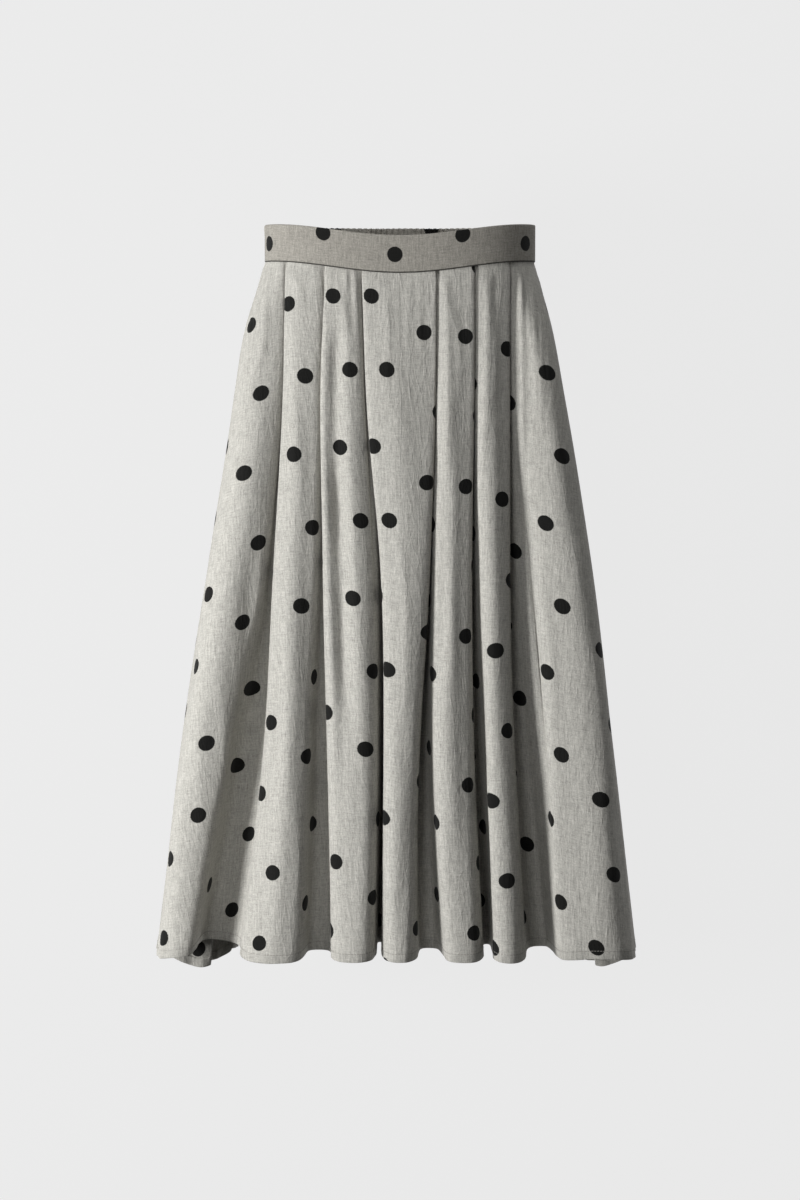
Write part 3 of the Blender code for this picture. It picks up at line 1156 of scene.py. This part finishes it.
    def surface(self) -> tuple[Array, Array]:
        """The panel without its turned edges.

        Formula: horizontal rings, each lifted to its height between the seam and the hem. A
        column's place across the cut is its ring's length from the centre, and the cut is a
        sector of a ring, so the place down the cloth falls by across^2 / 2R towards the sides.

        Returns:
            The grid of places and the same grid on the cut.
        """
        heights = self.heights()
        front = self.half is Half.FRONT
        rings, starts = (self.front_rings(heights) if front
                         else (self.back_rings(heights), np.zeros(0, int)))
        x, y, inward = rings[..., 0], rings[..., 1], rings[..., 2]
        seam = (band_top(x[0]) if front else BAND_TOP + 0 * x[0]) - BAND_HEIGHT
        hem = hem_height(x[-1], inward[-1], self.half)
        share = (heights / SIDE_LENGTH)[:, None]
        tucked = TUCKED_UP * (1 - ease(heights, 0, TUCK_REACH))
        z = seam + tucked[:, None] + (hem - seam) * share
        points = np.stack([x, y, z], axis=-1)
        steps = np.hypot(np.diff(x, axis=1), np.diff(y, axis=1))
        length = np.concatenate([np.zeros((len(x), 1)), np.cumsum(steps, axis=1)], axis=1)
        if front:
            across = self.pleated_across(length, starts, share[:, 0])
        else:
            across = length - length[:, length.shape[1] // 2][:, None]
        self.widths = [float(length[:WAIST_ROWS, -1].max()), float(length[-1, -1])]
        slant = 1 + SIDE_SLANT * (x / np.abs(x).max(axis=1, keepdims=True)) ** 2
        down = (seam - z) * slant - across ** 2 / (2 * CUT_RADIUS) - OFF_GRAIN * across
        return points, np.stack([across, down], axis=-1)

    def creased(self, points: Array, cut: Array) -> Array:
        """Press the creases, puckers and soft unevenness into the surface.

        Formula: the sum of all their lifts, along the normal, swelling below the waist seam.

        Args:
            points: the grid of places.
            cut: the same grid on the cut.

        Returns:
            The new grid of places.
        """
        across, below = cut[..., 0], cut[..., 1] + cut[..., 0] ** 2 / (2 * CUT_RADIUS)
        rise = np.zeros(across.shape)
        for crease in self.creases:
            rise += crease.relief(across, below)
        Unevenness().add_to(rise, (across, below), self.pucker, self.seed)
        return points + grid_normals(points) * (rise * ease(below, 0, CREASE_START))[..., None]

    def turned(self, points: Array, cut: Array) -> tuple[Array, Array]:
        """Add the hem turned up inside, and the side turnings folded in.

        Formula: past an edge the sheet follows half a circle towards the inside and comes back
        along the panel, one gap further in.

        Args:
            points: the grid of places.
            cut: the same grid on the cut.

        Returns:
            Both grids with the turned rows and columns.
        """
        inside = -grid_normals(points)
        radius = TURNING_GAP / 2
        rows, cut_rows = [], []
        for turn in HEM_FOLD_TURNS:
            step = inside[-1] * radius * (1 - np.cos(turn))
            step = step - np.array([0, 0, 1]) * radius * np.sin(turn)
            rows.append(points[-1] + step)
            cut_rows.append(cut[-1] + np.array([0, radius * turn]))
        lift = points[-1, :, 2] - points[-3, :, 2]
        back = (points[-3] - points[-1]) / np.abs(lift)[:, None]
        for height in np.linspace(0.0, HEM_TURNING, 5):
            rows.append(points[-1] + inside[-1] * TURNING_GAP + back * height)
            cut_rows.append(cut[-1] + np.array([0, np.pi * radius + height]))
        points = np.concatenate([points, np.array(rows)])
        cut = np.concatenate([cut, np.array(cut_rows)])
        points[:, [0, -1], 0] *= 1 - SEAM_GROOVE / np.abs(points[:, [0, -1], 0])
        steps = SEAM_TURNING * np.array(TURNING_STEPS)
        own_side = np.array([0.0, self.half.value * (CLOTH / 2 + SEAM_CLEAR), 0.0])
        ends = []
        for side, column in ((-1.0, 0), (1.0, -1)):
            inward = np.array([-side, 0.0, 0.0])
            strip = points[:, column][:, None] + own_side + inward * steps[None, :, None]
            flat = cut[:, column][:, None] + np.array([side, 0.0]) * steps[None, :, None]
            ends.append((strip, flat))
        points = np.concatenate([ends[0][0][:, ::-1], points, ends[1][0]], axis=1)
        cut = np.concatenate([ends[0][1][:, ::-1], cut, ends[1][1]], axis=1)
        return points, cut

    def build(self) -> list[Object]:
        """Make the panel and its hem's stitches, and set them in place of the solid.

        Returns:
            The new objects.
        """
        points, cut = self.surface()
        points = self.creased(points, cut)
        stitches = Stitches(self.thread).build(f"{self.name}_hem_stitches", points)
        points, cut = self.turned(points, cut)
        obj = grid_mesh(self.name, points, cut, self.finish)
        thicken(obj, CLOTH)
        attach(obj, "root")
        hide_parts(self.node)
        return [stitches, obj]


# ---- bands
@dataclass
class Band:
    """A waistband half: doubled cloth over a flat core, folded at its top."""

    name: str
    node: str
    half: Half
    finish: Material
    slot: str
    columns: int = 260
    drawn_up: float = 1.0
    gathers: int = 0
    ruche: float = 0.0
    seed: int = 11
    end_gap: float = 0.05
    end_fade: Pair = (1.2, 6.0)
    broad_wander: tuple[Triple, ...] = ((0.5, 23.0, 0.0), (0.35, 9.7, 1.0))
    fine_wander: tuple[Triple, ...] = ((1.9, 17.0, 0.0), (1.3, 6.1, 0.0))
    fine_mean: float = 0.6
    fine_swell: tuple[Triple, ...] = ((0.4, 11.0, 0.0),)
    least_ruche: float = 0.85
    seam_calm: float = 0.7      # share by which the fine wave is less at the seam
    calm_reach: Pair = (2.0, 20.0)
    drop: Pair = (0.5, 0.35)    # how far the broad and the fine wave draw the top edge down
    top_reach: float = 6.0

    def profile(self) -> tuple[Array, Array, Array]:
        """The band's section.

        Formula: a flat wall with a half round top and bottom corners of 1 mm radius.

        Returns:
            The outward place, the height below the top and the distance round it, for each point.
        """
        r = BAND_WALL / 2
        turn = np.linspace(0, np.pi, 9)[1:-1]
        corner = np.array([[r - 1.0, BAND_HEIGHT], [r - 0.5, BAND_HEIGHT - 0.15],
                           [r - 0.15, BAND_HEIGHT - 0.5]])
        outer = np.stack([np.full(16, r), np.linspace(BAND_HEIGHT - 1.0, r, 16)], axis=-1)
        fold = np.stack([r * np.cos(turn), r - r * np.sin(turn)], axis=-1)
        mirrored = np.concatenate([corner, outer])[::-1] * (-1.0, 1.0)
        place, height = np.concatenate([corner, outer, fold, mirrored]).T
        return place, height, walked(np.hypot(np.diff(place), np.diff(height)))

    def ruching(self, run: Array, length: float) -> tuple[Array, Array]:
        """How far the elastic draws the cloth in and out, along the band.

        Formula: a broad cosine for each gather and a finer sine, both with a wandering phase,
        fading out at the ends. A band without gathers has neither.

        Args:
            run: places along the band.
            length: the band's length.

        Returns:
            The broad and the fine wave.
        """
        if not self.gathers:
            return np.zeros_like(run), np.zeros_like(run)
        wander = wandering(np.zeros_like(run), run, self.broad_wander)
        phase = 2 * np.pi * self.gathers * run / length + wander
        fade = ease(np.minimum(run, length - run), *self.end_fade)
        uneven = np.random.default_rng(self.seed).uniform(self.least_ruche, 1.0, len(run))
        wave = self.ruche * fade * (0.5 - 0.5 * np.cos(phase)) * uneven
        phase = wandering(2 * np.pi * run / FRILL_PITCH, run, self.fine_wander)
        return wave, FRILL_DEPTH * fade * np.sin(phase) * wandering(
            self.fine_mean, run, self.fine_swell)

    def build(self) -> list[Object]:
        """Make the band and set it in place of its solid.

        Formula: the profile carried along the waist's section. The broad wave moves it inwards,
        and the fine one outwards, less towards the seam. Both draw the top edge down.

        Returns:
            The new object.
        """
        section = HalfSection(0.0, self.half)
        run = np.linspace(self.end_gap, section.length - self.end_gap, self.columns)
        place, height, round_it = self.profile()
        wave, frill = self.ruching(run, section.length)
        xy = section.points(run, wave)
        out = section.outward(run)
        grid = xy[None] + out[None] * place[:, None, None]
        calm = 1 - self.seam_calm * ease(height, *self.calm_reach)
        grid = grid + out[None] * (frill[None] * calm[:, None])[..., None]
        front = self.half is Half.FRONT
        top = band_top(xy[:, 0]) if front else np.full(len(run), BAND_TOP)
        z = top[None] - height[:, None]
        drawn = self.drop[0] * wave + self.drop[1] * np.abs(frill)
        z = z - drawn[None] * (1 - ease(height, 0, self.top_reach))[:, None]
        middle = section.run_at_x(0.0) if front else section.length / 2
        cut = np.stack([(run - middle)[None] + 0 * z, (BAND_HEIGHT - round_it)[:, None] + 0 * z],
                       axis=-1)
        index = np.arange(z.size).reshape(z.shape)
        under = np.stack([index[-1, :-1], index[0, :-1], index[0, 1:], index[-1, 1:]], axis=-1)
        obj = grid_mesh(self.name, np.concatenate([grid, z[..., None]], axis=-1), cut, self.finish,
                        closing=(under, index[None, :, 0], index[None, ::-1, -1]))
        obj.data.set_sharp_from_angle(angle=SHARP_EDGE)
        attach(obj, "root")
        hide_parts(self.node)
        return [obj]


# ---- creases, given one by one
FRONT_CREASES = tuple(Crease(*row) for row in (
    # across, below, to_across, to_below, width, rise, and bow where it lies straight
    # the crowns of the seven flutes
    (-326, 20, -492, 880, 20, 6.5), (-242, -60, -320, 1000, 13, 6.5),
    (-131, -30, -170, 950, 14, 5), (-5, -50, -11, 950, 22, 5.5), (118, -30, 104, 900, 12, 4.5),
    (223, -30, 256, 900, 12, 4.5), (356, -50, 484, 1150, 25, 9),
    # the second panel's fold edge, and the trough beside it
    (-149, 40, -168, 330, 4.2, 2.6, 0), (-161, 200, -177, 560, 4.2, 2.6, 0),
    (-137, 40, -155, 330, 9, -6.5, 0), (-148, 200, -166, 560, 9, -6.5, 0),
    # broad troughs
    (111, 150, 103, 520, 7, -3.5), (329, 150, 362, 760, 12, -8), (-362, 300, -385, 640, 12, -3.5),
    (-214, 40, -236, 560, 9, -2.5),
    # narrow lines beside the pressed folds
    (-328, -60, -340, 420, 3.5, -2.4), (-216, -60, -224, 420, 3.5, -2.4),
    (-112, -60, -120, 420, 3.5, -2.4), (113, -60, 112, 300, 3.5, 1.8),
    (218, -60, 224, 300, 3.5, 1.8), (329, -60, 336, 300, 3.5, 1.8),
    # small creases, from the left to the right
    (-385, 150, -398, 250, 6, -2), (-350, 40, -372, 170, 5, 1.6), (-410, 300, -440, 470, 8, 1.8),
    (-430, 520, -452, 700, 9, -1.8), (-395, 430, -405, 640, 6, 1.4), (-252, 12, -240, 60, 4, 1.4),
    (-262, 120, -255, 330, 6, 1.3), (-285, 380, -300, 600, 7, -1.4),
    (-275, 560, -280, 740, 6, 1.2), (-140, 15, -132, 120, 4, 1.1),
    (-150, 200, -160, 420, 6, -1.2), (-165, 430, -175, 690, 6, 1.3), (-18, 10, -22, 150, 4, 1.1),
    (24, 15, 27, 220, 5, -1), (-8, 260, 0, 520, 6, 1.2), (5, 480, 0, 740, 6, -1.1),
    (120, 20, 128, 160, 4, 1.1), (110, 220, 118, 480, 5, 1.1), (105, 500, 112, 740, 5, -1.1),
    (225, 20, 232, 180, 4, 1.1), (228, 260, 240, 520, 6, -1.2), (240, 520, 250, 740, 6, 1.2),
    (340, 30, 356, 200, 6, 1.8), (372, 120, 392, 330, 8, -2), (352, 300, 368, 560, 6, 1.4),
    (405, 380, 430, 640, 8, 1.8), (430, 560, 450, 750, 8, -1.8),
))
BACK_CREASES = tuple(Crease(*row) for row in (
    (-380, 120, -410, 420, 9, 1.8), (-250, 260, -235, 600, 8, -1.4), (-120, 60, -140, 300, 6, 1.2),
    (10, 140, -8, 520, 7, 1.1), (150, 300, 175, 700, 8, -1.5), (300, 80, 285, 380, 8, 1.5),
    (430, 360, 455, 740, 9, 1.7),
))


# ---- studio
@dataclass(frozen=True)
class Studio:
    """The camera at the photograph's angle, a pale sweep and soft lights. Metres."""

    aim: Triple = (0.0, 0.0, -0.396)
    distance: float = 3.2
    elevation: float = 5.0
    view_height: float = 1.3459
    wall: float = 0.21
    wall_side: float = 3.0
    floor: float = -2.2
    ceiling: float = 1.6
    wall_glow: float = 0.795
    sky: float = 0.05
    lamps: tuple[Lamp, ...] = (Lamp("key", (-2.15, -1.5, -0.42), 0.6, 84.0),
                               Lamp("fill", (-0.8, -2.9, 0.55), 0.8, 16.0),
                               Lamp("top", (-0.3, -1.0, 2.0), 1.2, 15.0))

    def build(self) -> None:
        """Set up the whole studio."""
        self.camera()
        self.sweep()
        for lamp in self.lamps:
            self.light(lamp)
        world = bpy.data.worlds.new("studio")
        world.use_nodes = True
        sky = world.node_tree.nodes["Background"]
        sky.inputs["Color"].default_value = (0.97, 0.98, 1.0, 1.0)
        sky.inputs["Strength"].default_value = self.sky
        bpy.context.scene.world = world
        bpy.context.scene.view_settings.view_transform = "Standard"

    def camera(self) -> None:
        """A long lens at the photograph's angle, level across."""
        data = bpy.data.cameras.new("camera")
        data.lens = data.sensor_width * self.distance / self.view_height
        camera = placed("camera", data)
        tilt = np.radians(self.elevation)
        back = Vector((0.0, -float(np.cos(tilt)), float(np.sin(tilt))))
        stand(camera, Vector(self.aim) + back * self.distance, -back)
        bpy.context.scene.camera = camera

    def sweep(self) -> None:
        """A pale wall that glows evenly, seen from its front only."""
        y = np.array([self.wall, self.wall])
        z = np.array([self.floor, self.ceiling])
        x = np.array([self.wall_side, -self.wall_side])
        points = np.stack(np.broadcast_arrays(x[None, :], y[:, None], z[:, None]), axis=-1) / MM
        tree = Tree("backdrop")
        tree.fill(tree.shader, {
            "Base Color": (0.03, 0.03, 0.03, 1.0), "Emission Color": (1.0, 1.0, 1.0, 1.0),
            "Emission Strength": self.wall_glow, "Roughness": 1.0, "Specular IOR Level": 0.0})
        behind = tree.add("NewGeometry", "Backfacing", {})
        shown = tree.add("MixShader", "Shader", {
            "Fac": behind, 1: tree.shader.outputs["BSDF"],
            2: tree.add("BsdfTransparent", "BSDF", {})})
        tree.fill(tree.nodes["Material Output"], {"Surface": shown})
        sweep = grid_mesh("backdrop", points, points[..., :2] * 0, tree.material)
        sweep.visible_shadow = False

    def light(self, lamp: Lamp) -> None:
        """A square soft light that looks at the skirt.

        Args:
            lamp: its sizes.
        """
        data = bpy.data.lights.new(lamp.name, "AREA")
        data.size = lamp.size
        data.energy = lamp.power
        light = placed(lamp.name, data)
        light.visible_camera = False
        stand(light, Vector(lamp.place), Vector(self.aim) - Vector(lamp.place))


def main() -> None:
    """Build the skirt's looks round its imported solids."""
    logging.basicConfig(level=logging.INFO, format="%(name)s: %(message)s")
    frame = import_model()
    LOG.info("nodes: %s", ", ".join(sorted(frame["nodes"])))
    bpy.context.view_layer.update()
    Studio().build()
    cloth = DottedLinen("dotted_linen", origin=(-30.4, 27.0)).material()
    back_cloth = DottedLinen("dotted_linen_back", origin=(-12.0, 64.0)).material()
    # The waistband gets painted shade along its lowest edge, for the waist seam's shadow.
    band_cloth = DottedLinen("waistband_linen", origin=(-20.5, -5.9), turned=True, stretch=0.94,
                             cloth=(0.277, 0.263, 0.234), crumple=0.12, painted_seam_shade=0.2).material()
    elastic_cloth = DottedLinen("elastic_band_linen", origin=(-12.8, -26.4), turned=True,
                                stretch=0.69, crumple=0.2,
                                cloth=(0.37, 0.352, 0.315)).material()
    thread = Thread().material()
    pieces = (
        Panel("front_panel", "skirt_front", Half.FRONT, cloth, thread, FRONT_CREASES),
        Panel("back_panel", "skirt_back", Half.BACK, back_cloth, thread, BACK_CREASES,
              pucker=0.6, seed=8),
        Band("front_band", "waistband_front", Half.FRONT, band_cloth, "waistband_linen"),
        Band("back_band", "waistband_back", Half.BACK, elastic_cloth, "elastic_band_linen",
             columns=720, drawn_up=0.69, gathers=BAND_GATHERS, ruche=BAND_RUCHE),
    )
    for piece in pieces:
        for obj in piece.build():
            LOG.info("%s: %d faces", obj.name, len(obj.data.polygons))


if __name__ == "__main__":
    main()
